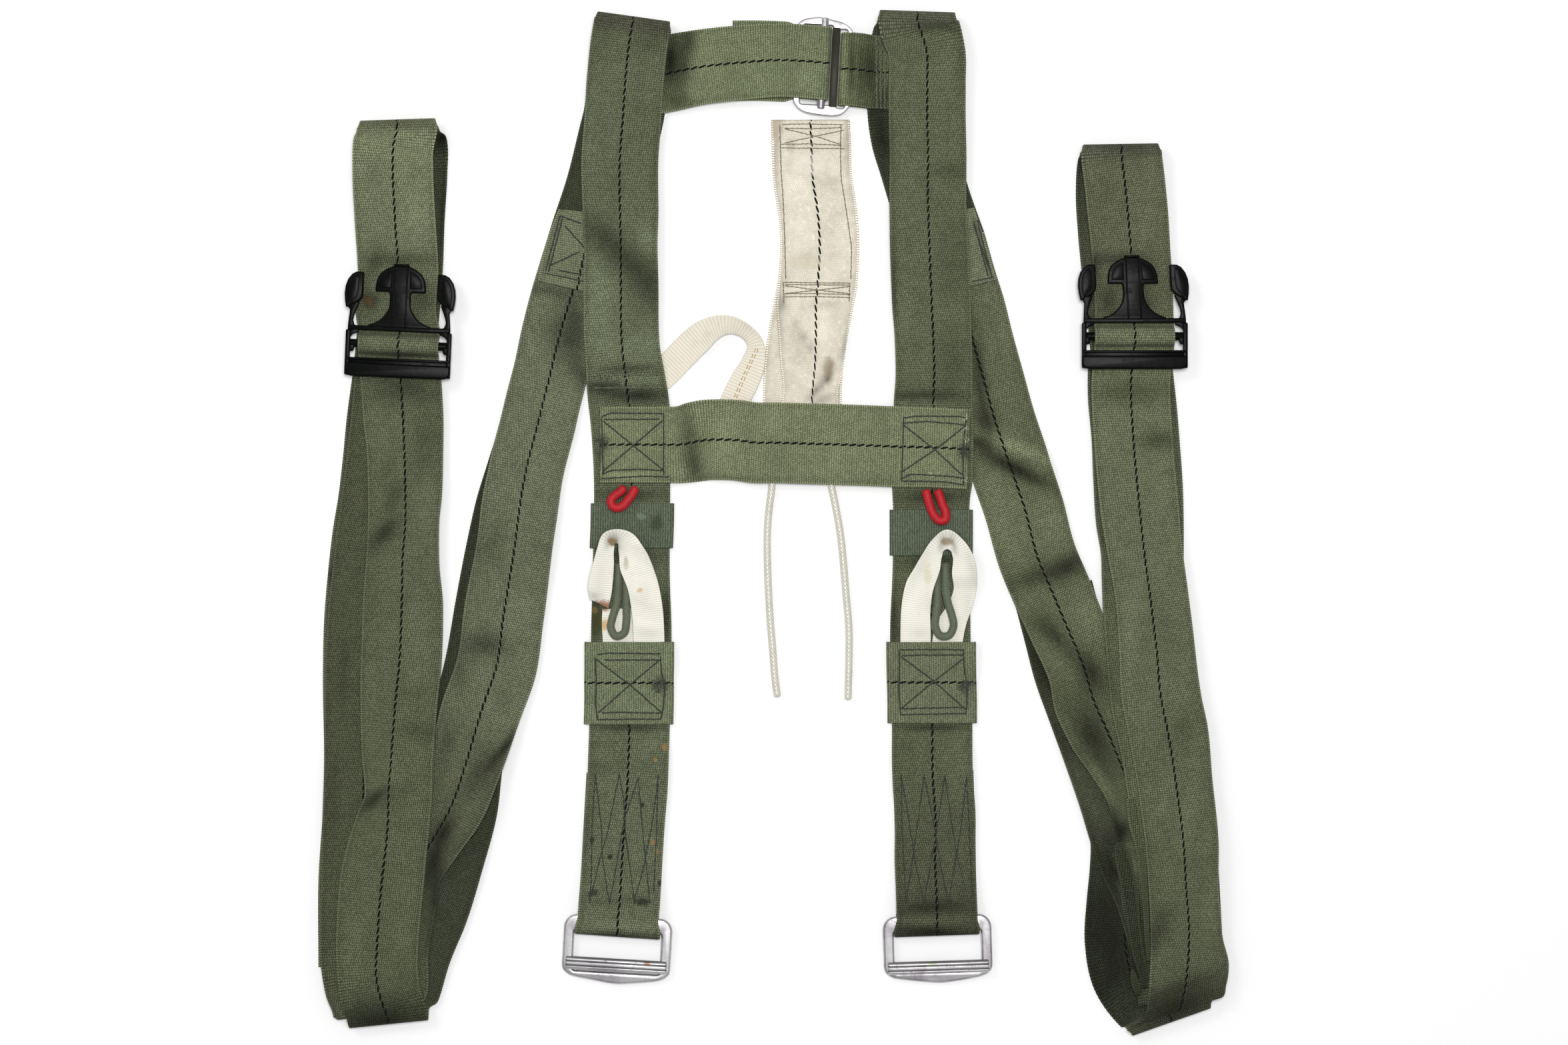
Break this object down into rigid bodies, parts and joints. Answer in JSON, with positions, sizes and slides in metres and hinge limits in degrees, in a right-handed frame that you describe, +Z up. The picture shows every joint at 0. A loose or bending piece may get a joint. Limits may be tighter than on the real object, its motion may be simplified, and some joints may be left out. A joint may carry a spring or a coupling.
{
  "type": "webbing load harness",
  "caption": "Olive webbing load harness lying flat, with uprights, cross straps, buckled leg straps, metal adapters, cord loops and coated release cables.",
  "frame": {"origin": "centre of the harness's outline, on the surface it lies on", "axes": "+Z up from the surface, +Y from the adapters' end towards the upper cross strap, +X to the right as seen from above"},
  "size_m": [0.4969, 0.5601, 0.0128],
  "materials": {
    "olive_webbing": "matte woven webbing",
    "olive_webbing_right": "matte woven webbing",
    "light_olive_webbing": "matte woven webbing",
    "blue_green_webbing": "matte woven webbing",
    "cream_webbing": "matte woven webbing",
    "white_tape": "matte ribbed tape",
    "red_cord": "braided cord",
    "green_cord": "braided cord",
    "black_plastic": "worn satin",
    "worn_metal": "worn",
    "bar_metal": "worn",
    "coated_steel": "clear coated steel rope"
  },
  "bodies": {
    "root": {"left_main_strap": "olive_webbing", "right_main_strap": "olive_webbing_right", "left_diagonal_strap": "olive_webbing", "right_diagonal_strap": "olive_webbing_right", "left_leg_strap": "olive_webbing", "right_leg_strap": "olive_webbing_right", "right_under_strap": "olive_webbing_right", "left_shoulder_patch": "light_olive_webbing", "right_shoulder_patch": "light_olive_webbing", "upper_cross_strap": "light_olive_webbing", "right_anchor_strap": "light_olive_webbing", "lower_cross_strap": "light_olive_webbing", "handle_strap": "cream_webbing", "narrow_white_tape": "white_tape", "left_band": "blue_green_webbing", "right_band": "blue_green_webbing", "left_sleeve": "light_olive_webbing", "right_sleeve": "light_olive_webbing", "left_white_tape": "white_tape", "right_white_tape": "white_tape", "left_white_tail": "white_tape", "left_buckle": "black_plastic", "right_buckle": "black_plastic", "left_adapter_frame": "worn_metal", "right_adapter_frame": "worn_metal", "upper_adapter_frame": "worn_metal", "upper_adapter_bar": "worn_metal", "left_cable": "coated_steel", "right_cable": "coated_steel", "left_red_loop": "red_cord", "right_red_loop": "red_cord", "left_green_loop": "green_cord", "right_green_loop": "green_cord"},
    "left_bar": {"left_slide_bar": "bar_metal"},
    "right_bar": {"right_slide_bar": "bar_metal"}
  },
  "joints": [
    {"name": "left_bar_slide", "type": "slide", "parent": "root", "child": "left_bar", "axis": [0.0592, 0.9967, 0.0558], "range_m": [0, 0.0085]},
    {"name": "right_bar_slide", "type": "slide", "parent": "root", "child": "right_bar", "axis": [-0.0314, 0.9979, 0.0558], "range_m": [0, 0.0085]}
  ]
}
